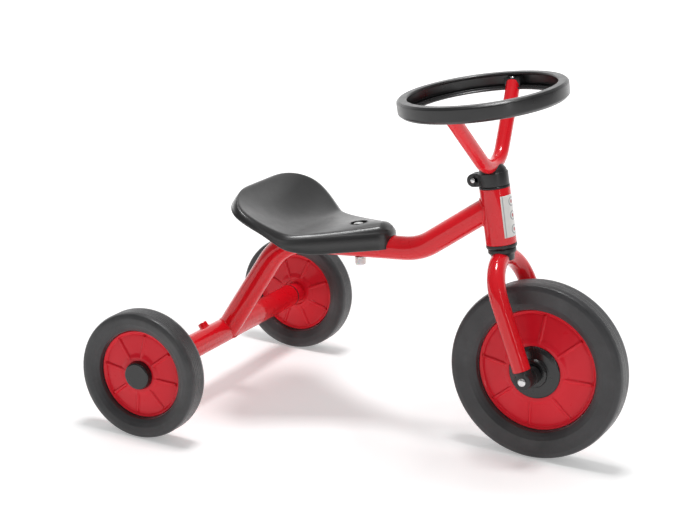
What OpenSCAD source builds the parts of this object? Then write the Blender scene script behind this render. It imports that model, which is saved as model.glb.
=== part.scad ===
/*
  Toddler push tricycle without pedals.
  Units are millimetres. +X is forward, +Y is the rider's left, +Z is up.
  The origin is on the ground, midway between the front of the front tyre and
  the back of the rear tyres, on the plane of symmetry.
*/

/* [Wheels] */
// Diameter of the front tyre
front_wheel_d = 200; // [190:1:215]
// Diameter of the two rear tyres
rear_wheel_d = 144; // [136:1:150]
// Width of the front tyre
front_tyre_w = 33.2; // [31:0.2:36]
// Width of each rear tyre
rear_tyre_w = 29.8; // [28:0.2:32]
// Outer diameter of the front rim disc
front_rim_d = 138.4; // [134:0.2:144]
// Outer diameter of each rear rim disc
rear_rim_d = 100.4; // [96:0.2:104]
// Distance from the rear axle to the front axle
wheelbase = 396; // [385:1:420]
// Distance between the middle planes of the rear tyres
track = 367.2; // [350:0.2:400]
// Number of ribs on each rim face
rib_count = 8; // [6:1:12]

/* [Steering] */
// Lean of the steering axis from the vertical
head_angle = 11.4; // [9:0.1:14]
// Distance from the steering axis to the front axle
fork_offset = 26.5; // [22:0.5:30]
// Distance between the fork leg centres
fork_spacing = 86; // [84:1:92]
// Outer diameter of the fork tube
fork_tube_d = 20; // [18:0.5:21]
// Outer diameter of the steering ring
ring_d = 186.4; // [176:0.2:200]
// Height of the steering ring band
ring_h = 18.6; // [18:0.2:20]
// Angle of each handlebar arm from the steering axis
arm_angle = 42; // [41.5:0.5:42.5]
// Sideways lean of the handlebar in its clamp
bar_lean = 3.6; // [0:0.2:4]
// Turn of the handlebar in its clamp
bar_turn = -1.7; // [-2:0.1:2]

/* [Frame] */
// Outer diameter of the bent main tube
main_tube_d = 27; // [25:0.5:28]
// Outer diameter of the rear axle tube
axle_tube_d = 28; // [26:0.5:30]
// Outer diameter of the head tube
head_tube_d = 34; // [33:0.5:36]
// Wall thickness of the frame tubes
wall = 2; // [1.5:0.1:2.5]

/* [Seat] */
// Half width that the seat starts from at its nose
nose_half_w = 15; // [14.5:0.5:17]
// Height of the seat back above the sitting edge
back_rise = 50; // [42:1:56]
// Thickness of the moulded seat
seat_t = 3.6; // [3:0.1:4]

/* [Output] */
// Sub-part to build, or all of them

/* [Hidden] */
$fn = 96;
// Hairline left between the straight and the bent lengths of one tube.
seam = 0.02;

front_r = front_wheel_d / 2;
rear_r = rear_wheel_d / 2;
rear_x = rear_r - (wheelbase + front_r + rear_r) / 2;
front_x = rear_x + wheelbase;
half_track = track / 2;

// Steering axis, measured from the foot of the perpendicular from the front axle.
steer_o = [front_x - fork_offset * cos(head_angle), 0, front_r - fork_offset * sin(head_angle)];
crown_z = 127.5;
fork_lean = atan2(fork_offset, crown_z);
fork_len = norm([crown_z, fork_offset]);
arch_r = fork_spacing / 2;
bush_z = crown_z + fork_tube_d / 2 + 1;
head_z0 = bush_z + 4.5;
head_z1 = head_z0 + 62.5;
clamp_z0 = head_z1 + 2.4;
clamp_z1 = clamp_z0 + 14.6;
ring_z = head_z0 + 162.7;
bar_d = 16;
bar_bore = bar_d - 3.2;
bar_bend_r = 40;
bar_x = 2;
bar_apex_z = ring_z - 95.7;
bar_end_z = ring_z - 3;
stem_top = bar_apex_z + 18.8;
steerer_d = 22;
stem_d = 18;

// Corners of the main tube in the plane of symmetry.
main_low = [rear_x + 1.5, 0, rear_r];
main_back = [rear_x + 72.7, 0, rear_r + 123.2];
main_front = [main_back.x + 172.7, 0, main_back.z + 16.8];
main_head = [front_x - 63, 0, front_r + 178.3];
main_bend_r = 65;
main_pts = [main_low, main_back, main_front, main_head];
run_dir = (main_front - main_back) / norm(main_front - main_back);
run_lift = asin(run_dir.z);

// Rear axle line.
axle_z = rear_r;
rod_d = 10;
boss_y = 37;
tube_half = half_track - 25.5;
front_axle_d = 8;
cap_w = 18;
leg_gap = 11;
lug_x = 21.5;
ring_screw_y = ring_d / 2 - 10.8;
ring_pitch = 1.5;

// Seat outline.
seat_x0 = main_front.x - 36.5;
seat_len = 171.5;
seat_edge_z = main_front.z + 18.2;
seat_steps = 36;
seat_cols = 9;
bolt_x = main_front.x - 74.4;
saddle_x = main_front.x - 128;
seat_floor = main_tube_d / 2 + 8;

red = [0.80, 0.13, 0.17];
black = [0.13, 0.13, 0.14];
rubber = [0.20, 0.20, 0.21];
steel = [0.78, 0.78, 0.80];

// ---------- helpers ----------

function unit(v) = v / norm(v);

// Euler angles that carry the x, y and z axes onto the three given axes.
function frame_angles(x, y, z) = [atan2(y.z, z.z), -asin(x.z), atan2(x.y, x.x)];

function turn(p, i) = acos(unit(p[i] - p[i - 1]) * unit(p[i + 1] - p[i]));

function trim(p, r, i) = (i == 0 || i == len(p) - 1) ? 0 : r * tan(turn(p, i) / 2);

module rod_between(a, b, d) {
  v = b - a;
  translate(a)
    rotate([0, acos(v.z / norm(v)), atan2(v.y, v.x)])
      cylinder(d = d, h = norm(v));
}

// Round bar along a polyline with the corners bent to one radius, or a tube if
// a bore is given. Children are cut away from every length of it.
module bent_bar(p, r, d, bore = 0) {
  n = len(p) - 1;
  for (i = [0 : n - 1]) {
    u = unit(p[i + 1] - p[i]);
    a = p[i] + u * (trim(p, r, i) + (i > 0 ? seam : 0));
    b = p[i + 1] - u * (trim(p, r, i + 1) + (i < n - 1 ? seam : 0));
    difference() {
      rod_between(a, b, d);
      if (bore > 0) rod_between(a - u, b + u, bore);
      children();
    }
  }
  for (i = [1 : n - 1]) {
    u = unit(p[i] - p[i - 1]);
    w = unit(cross(u, unit(p[i + 1] - p[i])));
    inward = cross(w, u);
    difference() {
      translate(p[i] - u * trim(p, r, i) + inward * r)
        rotate(frame_angles(-inward, u, w))
          bend(turn(p, i), r, d, bore);
      children();
    }
  }
}

module bend(angle, r, d, bore = 0) {
  rotate_extrude(angle = angle)
    translate([r, 0])
      difference() {
        circle(d = d);
        if (bore > 0) circle(d = bore);
      }
}

module steering() {
  translate(steer_o)
    rotate([0, -head_angle, 0])
      children();
}

// Handlebar frame: leaned and turned in the clamp, about a point on the steering axis.
module in_clamp() {
  translate([0, 0, bar_apex_z])
    rotate([bar_lean, 0, bar_turn])
      translate([0, 0, -bar_apex_z])
        children();
}

module fork_frame() {
  steering()
    translate([0, 0, crown_z])
      rotate([0, -fork_lean, 0])
        children();
}

module at_front_axle() {
  steering()
    translate([fork_offset, 0, 0])
      rotate([90, 0, 0])
        children();
}

// Places a shape drawn along +Z so that +Z points outward on one side.
module at_rear_wheel(side) {
  translate([rear_x, side * half_track, axle_z])
    rotate([-side * 90, 0, 0])
      children();
}

module both_sides() {
  children();
  mirror([0, 1, 0]) children();
}

module ring(d_out, d_in, h) {
  difference() {
    cylinder(d = d_out, h = h);
    translate([0, 0, -1]) cylinder(d = d_in, h = h + 2);
  }
}

module centred_ring(d_out, d_in, h) {
  translate([0, 0, -h / 2]) ring(d_out, d_in, h);
}

// Section of a tyre: sidewalls that swell from the rim, and a tread with rounded shoulders.
module tyre_section(r_out, r_in, w, round_out) {
  edge_r = r_out - round_out;
  sidewall = [[r_in, w / 2 - 5.6], [r_in + 4.5, w / 2 - 2.7], [r_in + 9, w / 2 - 0.9],
    [r_in + 12.5, w / 2], [edge_r, w / 2]];
  polygon(concat(sidewall, [for (i = [4 : -1 : 0]) [sidewall[i].x, -sidewall[i].y]]));
  translate([edge_r - 1, -w / 2 + round_out]) square([round_out + 1, w - 2 * round_out]);
  for (s = [-1, 1])
    translate([edge_r, s * (w / 2 - round_out)]) circle(r = round_out);
}

module tyre(r_out, r_in, w, round_out) {
  color(rubber)
    rotate_extrude() tyre_section(r_out, r_in, w, round_out);
}

// Both faces of a disc that thickens from its outer band to its middle.
module coned_web(r_out, z_out, r_mid, z_mid) {
  for (m = [0, 1])
    mirror([0, 0, m]) {
      cylinder(r1 = r_out, r2 = r_out, h = z_out);
      translate([0, 0, z_out]) cylinder(r1 = r_out, r2 = r_mid, h = z_mid - z_out);
    }
}

// Moulded rim: outer band, coned web with raised ribs on both faces, and a hub.
module rim(r_out, band_w, r_mid, z_mid, hub_d, hub_h0, hub_h1, bore_d) {
  color(red)
    difference() {
      union() {
        translate([0, 0, hub_h0]) cylinder(d = hub_d, h = hub_h1 - hub_h0);
        coned_web(r_out - 2, band_w / 2 - 2.4, r_mid, z_mid - 1.2);
        centred_ring(2 * r_out, 2 * r_out - 8, band_w);
        intersection() {
          coned_web(r_out - 2, band_w / 2 - 1.2, r_mid, z_mid);
          for (i = [0 : rib_count - 1])
            rotate(i * 360 / rib_count)
              translate([r_mid - 4, -1.2, -z_mid]) cube([r_out - 1 - r_mid, 2.4, 2 * z_mid]);
        }
      }
      translate([0, 0, hub_h0 - 1]) cylinder(d = bore_d, h = hub_h1 - hub_h0 + 2);
    }
}

// ---------- frame ----------

module head_tube() {
  color(red)
    steering()
      translate([0, 0, head_z0])
        ring(head_tube_d, head_tube_d - 2 * wall, head_z1 - head_z0);
}

module main_tube() {
  color(red)
    bent_bar(main_pts, main_bend_r, main_tube_d, main_tube_d - 2 * wall) {
      steering()
        translate([0, 0, head_z0 - 20]) cylinder(d = head_tube_d, h = head_z1 - head_z0 + 40);
      translate([rear_x, 0, axle_z])
        rotate([90, 0, 0]) cylinder(d = axle_tube_d, h = 80, center = true);
      seat_bolt_axis() cylinder(d = 6.6, h = 80, center = true);
    }
}

module boss_axis(side) {
  translate([rear_x, side * boss_y, axle_z])
    rotate([0, -38, 0])
      children();
}

module rear_axle_tube() {
  color(red)
    difference() {
      translate([rear_x, 0, axle_z])
        rotate([90, 0, 0])
          centred_ring(axle_tube_d, axle_tube_d - 2 * wall, 2 * tube_half);
      for (side = [-1, 1])
        boss_axis(side) cylinder(d = 6, h = 20);
    }
}

module axle_bosses() {
  color(red)
    for (side = [-1, 1])
      difference() {
        boss_axis(side) ring(11, 6, axle_tube_d / 2 + 5.5);
        translate([rear_x, side * boss_y, axle_z])
          rotate([90, 0, 0]) cylinder(d = axle_tube_d, h = 40, center = true);
      }
}

// Line square to the main tube's long run, through its centre, at the seat bolt.
module seat_bolt_axis() {
  z = main_back.z + (bolt_x - main_back.x) * tan(run_lift);
  translate([bolt_x, 0, z])
    rotate([0, -run_lift, 0])
      children();
}

module lower_head_bush() {
  color(black)
    steering()
      difference() {
        union() {
          translate([0, 0, bush_z]) cylinder(d = head_tube_d, h = head_z0 - bush_z);
          translate([0, 0, bush_z]) cylinder(d = head_tube_d - 2 * wall, h = 18);
        }
        translate([0, 0, bush_z - 1]) cylinder(d = steerer_d + 0.1, h = 22);
      }
}

module upper_head_bush() {
  color(black)
    steering()
      difference() {
        union() {
          translate([0, 0, head_z1]) cylinder(d = head_tube_d, h = 2);
          translate([0, 0, head_z1 - 14]) cylinder(d = head_tube_d - 2 * wall, h = 16);
        }
        translate([0, 0, head_z1 - 15]) cylinder(d = steerer_d + 0.1, h = 22);
      }
}

module head_badge() {
  color([0.92, 0.92, 0.90])
    steering()
      translate([0, 0, head_z0 + 8])
        rotate(-52)
          rotate_extrude(angle = 104)
            translate([head_tube_d / 2, 0]) square([0.3, 46]);
}

// ---------- seat ----------

function clamp01(t) = min(1, max(0, t));
function smooth(t) = t * t * (3 - 2 * t);
// Like clamp01, with its lower corner rounded.
function soft01(t) = clamp01((t + norm([t, 0.09])) / 2);

// Distance behind the nose tip at station i, closer together at both ends.
function seat_s(i) = seat_len * (1 - cos(180 * i / seat_steps)) / 2;

function nose_round(s) = s < 12 ? sqrt(max(0, 1 - pow((12 - s) / 12, 4))) : 1;
function back_round(s) = s > 108 ? sqrt(max(0, 1 - pow((s - 108) / (seat_len - 108), 3))) : 1;
function seat_half_w(s) =
  (nose_half_w + 0.57 * max(0, s - 4.5) + 5 * smooth(clamp01((s - 72) / 40)))
    * nose_round(s) * back_round(s);

// Height of the outline: a gentle fall from the nose, then the rise of the back.
function rise(t) = back_rise * (1 - pow(1 - soft01(t), 1.2));
function edge_z(s) = seat_edge_z - 0.12 * s + rise((s - 98) / (seat_len - 98));
// Depth of the middle below the outline: crowned at the nose, hollow at the back.
function dish(s) = -5 + 5 * smooth(clamp01((s - 14.5) / 75))
  + 15 * sin(180 * soft01((s - 98) / (seat_len - 98)));
function end_blend(s) = smooth(clamp01((seat_len - s) / 25)) * smooth(clamp01(s / 12));
function flange_h(s) = 21 - 12 * smooth(clamp01((s - 64.5) / 60));

// Distance to the outline, and the height lost to the rolled shoulder there.
function near_edge(s, t) =
  pow(pow(seat_half_w(s) * (1 - abs(t)) + 0.01, -4) + pow(s + 0.01, -4)
    + pow(seat_len - s + 0.01, -4), -0.25);
function shoulder(s, t) = 3 * pow(1 - clamp01(near_edge(s, t) / 6.5), 2);

function top_point(s, t) =
  [seat_x0 - s, seat_half_w(s) * t,
   edge_z(s) + 2 - dish(s) * end_blend(s) * (1 - t * t) - shoulder(s, t)];

// Direction pointing out of the outline at station i, in plan.
function out_dir(i, side) =
  let (a = seat_s(max(0, i - 1)), b = seat_s(min(seat_steps, i + 1)),
       dw = seat_half_w(b) - seat_half_w(a),
       n = norm([b - a, dw]))
    i == 0 ? [1, 0, 0] : i == seat_steps ? [-1, 0, 0] : [dw / n, side * (b - a) / n, 0];

// The outline runs from the nose tip along the left edge to the back and round.
function loop_station(k) = k <= seat_steps ? k : 2 * seat_steps - k;
function loop_side(k) = (k == 0 || k == seat_steps) ? 0 : k < seat_steps ? 1 : -1;
function loop_point(k, out, drop) =
  let (i = loop_station(k))
    top_point(seat_s(i), loop_side(k)) + out_dir(i, loop_side(k)) * out - [0, 0, drop];

seat_row = 2 * seat_cols + 1;
seat_grid = 2 + (seat_steps - 1) * seat_row;
seat_loop = 2 * seat_steps;

function grid_points(drop) = concat(
  [top_point(0, 0) - [0, 0, drop]],
  [for (i = [1 : seat_steps - 1]) for (j = [0 : seat_row - 1])
    top_point(seat_s(i), sin(90 * (1 - j / seat_cols))) - [0, 0, drop]],
  [top_point(seat_len, 0) - [0, 0, drop]]
);

function flange_points(out, drop, use_height) =
  [for (k = [0 : seat_loop - 1])
    loop_point(k, out, drop - 1 + use_height * flange_h(seat_s(loop_station(k))))];

function rim_index(base, k) =
  base + (k % seat_loop == 0 ? 0 : k == seat_steps ? seat_grid - 1
    : 1 + (loop_station(k % seat_loop) - 1) * seat_row + (k < seat_steps ? 0 : seat_row - 1));

function quad(a, b, c, d, flip) = flip ? [[a, c, b], [a, d, c]] : [[a, b, c], [a, c, d]];

function grid_faces(base, flip) = [
  for (i = [1 : seat_steps - 2]) for (j = [0 : seat_row - 2])
    let (a = base + 1 + (i - 1) * seat_row + j)
      each quad(a, a + 1, a + 1 + seat_row, a + seat_row, flip),
  for (j = [0 : seat_row - 2])
    each [
      flip ? [base, base + 1 + j, base + 2 + j] : [base, base + 2 + j, base + 1 + j],
      let (a = base + seat_grid - 1, b = a - seat_row + j)
        flip ? [a, b + 1, b] : [a, b, b + 1]
    ]
];

// Layers of the flange, from the outer shoulder down, under and up inside.
flange_layers = [
  [1.7, 3.0, 0], [3.0, 5.4, 0], [3.7, 8, 0], [4.5, 0, 1],
  [4.5 - seat_t, 0, 1], [3.3 - seat_t, seat_t + 3.8, 0]
];

function layer_index(n, k) =
  n == 0 ? rim_index(0, k)
  : n == 7 ? rim_index(seat_grid, k)
  : 2 * seat_grid + (n - 1) * seat_loop + k % seat_loop;

module seat_loft() {
  polyhedron(
    points = concat(
      grid_points(0),
      grid_points(seat_t),
      [for (l = flange_layers) each flange_points(l[0], l[1], l[2])]
    ),
    faces = concat(
      grid_faces(0, false),
      grid_faces(seat_grid, true),
      [for (n = [0 : 6]) for (k = [0 : seat_loop - 1])
        each quad(layer_index(n, k), layer_index(n, k + 1),
          layer_index(n + 1, k + 1), layer_index(n + 1, k), false)]
    ),
    convexity = 8
  );
}

module seat_shell() {
  color(black)
    difference() {
      union() {
        seat_loft();
        seat_bolt_axis() translate([0, 0, main_tube_d / 2 - 2]) cylinder(d = 25, h = 13);
        seat_bolt_axis() translate([saddle_x - bolt_x, 0, 0]) saddle_cheeks();
      }
      bent_bar(main_pts, main_bend_r, main_tube_d + 0.6);
      seat_bolt_axis() translate([0, 0, seat_floor]) cylinder(d = 20, h = 30);
      seat_bolt_axis() cylinder(d = 6.4, h = seat_floor + 1);
    }
}

// Two ribs under the seat that straddle the tube and keep the seat straight.
module saddle_cheeks() {
  for (side = [-1, 1])
    translate([-4, side * (main_tube_d / 2 + 1.8) - 1.5, 2])
      cube([14, 3, main_tube_d / 2]);
}

module seat_bolt() {
  color(steel)
    seat_bolt_axis() {
      translate([0, 0, seat_floor + 1.2]) dome(6.5, 3.5);
      translate([0, 0, -main_tube_d / 2 - 8])
        cylinder(d = 6, h = main_tube_d / 2 + 8 + seat_floor + 1.3);
    }
}

module seat_washers() {
  color(steel)
    seat_bolt_axis() {
      translate([0, 0, seat_floor]) ring(16, 6.4, 1.2);
      translate([0, 0, -main_tube_d / 2 - 1.2]) ring(12, 6.4, 1.2);
    }
}

module seat_nut() {
  color(steel)
    seat_bolt_axis()
      translate([0, 0, -main_tube_d / 2 - 6.2])
        difference() {
          cylinder(d = 10, h = 5, $fn = 6);
          translate([0, 0, -1]) cylinder(d = 6, h = 7);
        }
}

module seat_nut_cap() {
  color([0.9, 0.9, 0.88])
    seat_bolt_axis()
      translate([0, 0, -main_tube_d / 2 - 9.6])
        difference() {
          cylinder(d = 12, h = 8.4);
          translate([0, 0, 1.2]) cylinder(d = 10, h = 10);
        }
}

// ---------- rear axle ----------

module rear_axle_rod() {
  color(steel)
    translate([rear_x, 0, axle_z])
      rotate([90, 0, 0])
        cylinder(d = rod_d, h = 2 * half_track + 14, center = true);
}

module axle_tube_bushes() {
  color(black)
    both_sides()
      translate([rear_x, tube_half, axle_z])
        rotate([-90, 0, 0])
          difference() {
            union() {
              cylinder(d = axle_tube_d, h = 3);
              translate([0, 0, -16]) cylinder(d = axle_tube_d - 2 * wall, h = 16);
            }
            translate([0, 0, -17]) cylinder(d = rod_d, h = 21);
          }
}

module axle_push_nuts() {
  color(steel)
    both_sides()
      translate([rear_x, half_track + 2.4, axle_z])
        rotate([-90, 0, 0]) {
          ring(17, rod_d, 1);
          ring(13, rod_d, 2.2);
        }
}

module rear_tyre(side) {
  translate([rear_x, side * half_track, axle_z])
    rotate([90, 0, 0])
      tyre(rear_r, rear_rim_d / 2, rear_tyre_w, 6);
}

module rear_rim(side) {
  at_rear_wheel(side)
    difference() {
      rim(rear_rim_d / 2, 8, 17.5, 8, 24, -22, 8, 16);
      translate([0, 0, 2]) cylinder(r = 13.9, h = 10);
      translate([0, 0, 6.8]) cylinder(r = 16.2, h = 6);
    }
}

module wheel_bushes(side) {
  color([0.85, 0.85, 0.82])
    at_rear_wheel(side)
      for (z = [-22, -6])
        translate([0, 0, z]) ring(16, rod_d + 0.1, 8);
}

module hub_cap(side) {
  color(black)
    at_rear_wheel(side)
      difference() {
        union() {
          translate([0, 0, 2]) cylinder(r = 13.9, h = 8);
          translate([0, 0, 6.8]) cylinder(r = 16.2, h = rear_tyre_w / 2 - 8.6);
          intersection() {
            translate([0, 0, 6.8]) cylinder(r = 16.2, h = rear_tyre_w / 2 - 7);
            translate([0, 0, rear_tyre_w / 2 - 17.6]) sphere(r = 21.6);
          }
        }
        translate([0, 0, 1]) cylinder(r = 11.6, h = rear_tyre_w / 2 - 3.4);
      }
}

module rear_tyre_left() { rear_tyre(1); }
module rear_tyre_right() { rear_tyre(-1); }
module rear_rim_left() { rear_rim(1); }
module rear_rim_right() { rear_rim(-1); }
module wheel_bushes_left() { wheel_bushes(1); }
module wheel_bushes_right() { wheel_bushes(-1); }
module hub_cap_left() { hub_cap(1); }
module hub_cap_right() { hub_cap(-1); }

// ---------- front wheel ----------

module front_tyre() {
  at_front_axle()
    tyre(front_r, front_rim_d / 2, front_tyre_w, 7);
}

module front_rim() {
  at_front_axle()
    rim(front_rim_d / 2, 11, 31, 13, 30, -14, 14, 22);
}

module front_hub_covers() {
  color(black)
    at_front_axle()
      for (m = [0, 1])
        mirror([0, 0, m])
          difference() {
            intersection() {
              translate([0, 0, 13]) cylinder(r = 29.8, h = 8);
              translate([0, 0, -54.8]) sphere(r = 76.7);
            }
            translate([0, 0, 12]) cylinder(d = 30, h = 2);
            translate([0, 0, 12]) cylinder(d = 15, h = 12);
          }
}

module front_wheel_bushes() {
  color([0.85, 0.85, 0.82])
    at_front_axle()
      for (m = [0, 1])
        mirror([0, 0, m])
          translate([0, 0, 4])
            ring(22, 12.1, 10);
}

module front_axle_spacers() {
  reach = arch_r - cap_w / 2;
  color(black)
    at_front_axle()
      difference() {
        union() {
          cylinder(d = 12, h = 2 * reach, center = true);
          for (m = [0, 1])
            mirror([0, 0, m])
              translate([0, 0, 22.4]) cylinder(d = 22, h = reach - 22.4);
        }
        cylinder(d = front_axle_d, h = 2 * reach + 2, center = true);
      }
}

module front_axle_bolt() {
  color(steel)
    at_front_axle() {
      translate([0, 0, -arch_r - cap_w / 2]) cylinder(d = front_axle_d, h = 2 * arch_r + cap_w);
      translate([0, 0, arch_r + cap_w / 2]) dome(5, 2.4);
    }
}

module front_axle_nut() {
  color(steel)
    at_front_axle()
      mirror([0, 0, 1])
        translate([0, 0, arch_r + cap_w / 2]) dome(5, 2.4);
}

// Low domed button standing on z = 0.
module dome(r, h) {
  sphere_r = (r * r + h * h) / (2 * h);
  intersection() {
    cylinder(r = r, h = h);
    translate([0, 0, h - sphere_r]) sphere(r = sphere_r);
  }
}

// ---------- fork and steering ----------

// Inverted U drawn in the fork frame, whose origin is at the top of the arch.
module fork_bow(d, bore = 0) {
  fork_frame() {
    translate([0, 0, -arch_r])
      rotate([90, 0, 90]) bend(180, arch_r, d, bore);
    for (side = [-1, 1])
      translate([0, side * arch_r, -fork_len + leg_gap])
        difference() {
          cylinder(d = d, h = fork_len - leg_gap - arch_r - seam);
          if (bore > 0)
            translate([0, 0, -1]) cylinder(d = bore, h = fork_len);
        }
  }
}

module fork_tube() {
  color(red)
    fork_bow(fork_tube_d, fork_tube_d - 2 * wall);
}

module steerer_tube() {
  color(red)
    difference() {
      steering()
        translate([0, 0, crown_z + 2])
          ring(steerer_d, stem_d + 0.1, clamp_z1 - 1 - crown_z - 2);
      fork_bow(fork_tube_d);
    }
}

module crown_cap() {
  color(black)
    difference() {
      steering()
        translate([0, 0, crown_z + 1]) {
          difference() {
            union() {
              translate([0, 0, 5]) cylinder(d = 31, h = 4.5);
              translate([0, 0, 0]) cylinder(d = 26, h = 6);
            }
            translate([0, 0, -1]) cylinder(d = steerer_d, h = 20);
          }
        }
      fork_bow(fork_tube_d + 0.2);
    }
}

module fork_end_caps() {
  color(black)
    fork_frame()
      for (side = [-1, 1])
        translate([0, side * arch_r, -fork_len])
          difference() {
            union() {
              rotate([90, 0, 0]) cylinder(d = fork_tube_d, h = cap_w, center = true);
              translate([-fork_tube_d / 2, -cap_w / 2, 0])
                cube([fork_tube_d, cap_w, leg_gap]);
              cylinder(d = fork_tube_d - 2 * wall, h = leg_gap + 14);
            }
            rotate([90, 0, 0]) cylinder(d = front_axle_d, h = 60, center = true);
          }
}

bar_pts = [
  for (p = [[-1, bar_end_z], [0, bar_apex_z], [1, bar_end_z]])
    [bar_x, p[0] * (bar_end_z - bar_apex_z) * tan(arm_angle), p[1]]
];

module handlebar_bar() {
  color(red)
    steering()
      in_clamp() bent_bar(bar_pts, bar_bend_r, bar_d, bar_bore);
}

module handlebar_stem() {
  color(red)
    steering()
      difference() {
        translate([0, 0, head_z0 + 10])
          ring(stem_d, stem_d - 2 * wall, stem_top - head_z0 - 10);
        in_clamp() bent_bar(bar_pts, bar_bend_r, bar_d);
      }
}

module stem_clamp() {
  color(black)
    steering()
      difference() {
        union() {
          translate([0, 0, clamp_z0]) cylinder(d = head_tube_d - 0.6, h = clamp_z1 - clamp_z0);
          intersection() {
            translate([0, 0, clamp_z1 - 5.5]) sphere(r = 16.4);
            translate([0, 0, clamp_z1]) cylinder(r = 15.6, h = 20);
          }
          translate([-lug_x, 0, (clamp_z0 + clamp_z1) / 2])
            rotate([90, 0, 0])
              cylinder(d = clamp_z1 - clamp_z0, h = 15, center = true);
          translate([-lug_x, -7.5, clamp_z0]) cube([lug_x, 15, clamp_z1 - clamp_z0]);
        }
        translate([0, 0, clamp_z0 - 1]) cylinder(d = steerer_d, h = clamp_z1 - clamp_z0);
        translate([0, 0, clamp_z0]) cylinder(d = stem_d, h = stem_top - clamp_z0);
        in_clamp() bent_bar(bar_pts, bar_bend_r, bar_d);
        translate([-60, -1, clamp_z0 - 1]) cube([60, 2, clamp_z1 - clamp_z0 + 2]);
        translate([-lug_x, 0, (clamp_z0 + clamp_z1) / 2])
          rotate([90, 0, 0]) cylinder(d = 4, h = 40, center = true);
      }
}

module clamp_axis() {
  steering()
    translate([-lug_x, 0, (clamp_z0 + clamp_z1) / 2])
      rotate([90, 0, 0])
        children();
}

module clamp_screw() {
  color(steel)
    clamp_axis() {
      translate([0, 0, -12.5]) cylinder(d = 4, h = 20);
      translate([0, 0, 7.5]) dome(3.2, 1.8);
    }
}

module clamp_nut() {
  color(steel)
    clamp_axis()
      translate([0, 0, -11.5])
        difference() {
          cylinder(d = 8, h = 4, $fn = 6);
          translate([0, 0, -1]) cylinder(d = 4, h = 6);
        }
}

// Section of the steering ring: a C channel open towards the middle, with the
// lower lip wider than the upper one.
module ring_section() {
  r = ring_d / 2;
  h = ring_h / 2;
  difference() {
    union() {
      translate([r - 3.4, -h + 4]) square([3.4, ring_h - 8]);
      translate([r - 10.5, h - 3]) square([6.5, 3]);
      translate([r - 16.5, -h]) square([12.5, 3]);
      translate([r - 10.5, h - 1.5]) circle(r = 1.5);
      translate([r - 16.5, -h + 1.5]) circle(r = 1.5);
      for (s = [-1, 1]) translate([r - 4, s * (h - 4)]) circle(r = 4);
    }
    translate([r - 19, -h + 3]) square([15.6, ring_h - 6]);
  }
}

// Pocket for one end of the handlebar, between the wall and the lower lip.
module ring_socket_block(side) {
  y = side * (ring_d / 2 - 8.2);
  translate([-9.5, y - 6, -ring_h / 2 + 1])
    cube([19, 12, ring_h / 2 + 2.2]);
}

module steering_ring() {
  color(black)
    steering()
      in_clamp()
        difference() {
          translate([bar_x, 0, ring_z])
            rotate([0, ring_pitch, 0])
              union() {
                rotate_extrude() ring_section();
                intersection() {
                  union() for (side = [-1, 1]) ring_socket_block(side);
                  cylinder(d = ring_d - 4, h = 60, center = true);
                }
              }
          bent_bar(bar_pts, bar_bend_r, bar_d, bar_bore);
          ring_screw_places() translate([0, 0, -9]) cylinder(d = 3, h = 15);
        }
}

module ring_screw_places() {
  translate([bar_x, 0, ring_z])
    rotate([0, ring_pitch, 0])
      for (side = [-1, 1])
        translate([0, side * ring_screw_y, 3.2])
          children();
}

module ring_screws() {
  color(steel)
    steering()
      in_clamp()
        ring_screw_places() {
          dome(3, 1.7);
          translate([0, 0, -9]) cylinder(d = 3, h = 9.1);
        }
}

// ---------- list ----------
head_tube();
main_tube();
rear_axle_tube();
axle_bosses();
lower_head_bush();
upper_head_bush();
head_badge();
seat_shell();
seat_bolt();
seat_washers();
seat_nut();
seat_nut_cap();
rear_axle_rod();
axle_tube_bushes();
axle_push_nuts();
fork_tube();
steerer_tube();
crown_cap();
handlebar_stem();
handlebar_bar();
stem_clamp();
clamp_screw();
clamp_nut();
steering_ring();
ring_screws();
fork_end_caps();
front_axle_bolt();
front_axle_nut();
front_axle_spacers();
front_tyre();
front_rim();
front_hub_covers();
front_wheel_bushes();
rear_tyre_left();
rear_rim_left();
hub_cap_left();
wheel_bushes_left();
rear_tyre_right();
rear_rim_right();
hub_cap_right();
wheel_bushes_right();
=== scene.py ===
"""Toddler push tricycle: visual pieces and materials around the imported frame.

Everything is in the part's own frame: +X forward, +Y to the rider's left, +Z up,
the ground at z = 0. Shapes are drawn in millimetres and scaled once, in placed_mesh().
"""
from math import acos, asin, atan2, cos, pi, radians, sin, sqrt, tan

import bmesh
import bpy
import numpy as np
from mathutils import Matrix, Vector


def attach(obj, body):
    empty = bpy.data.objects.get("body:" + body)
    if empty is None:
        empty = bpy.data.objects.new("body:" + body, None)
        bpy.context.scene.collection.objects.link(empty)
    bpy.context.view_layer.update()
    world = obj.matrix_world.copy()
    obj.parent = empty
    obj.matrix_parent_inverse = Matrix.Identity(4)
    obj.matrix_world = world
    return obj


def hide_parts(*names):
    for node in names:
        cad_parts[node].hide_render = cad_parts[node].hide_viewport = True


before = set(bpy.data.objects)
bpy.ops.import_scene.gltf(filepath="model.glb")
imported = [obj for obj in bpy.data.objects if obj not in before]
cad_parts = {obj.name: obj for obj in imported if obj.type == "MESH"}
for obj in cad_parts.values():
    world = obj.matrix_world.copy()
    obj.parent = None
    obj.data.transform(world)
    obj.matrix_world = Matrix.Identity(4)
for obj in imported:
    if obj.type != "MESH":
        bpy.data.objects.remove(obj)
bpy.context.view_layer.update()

MM = 0.001

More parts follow.
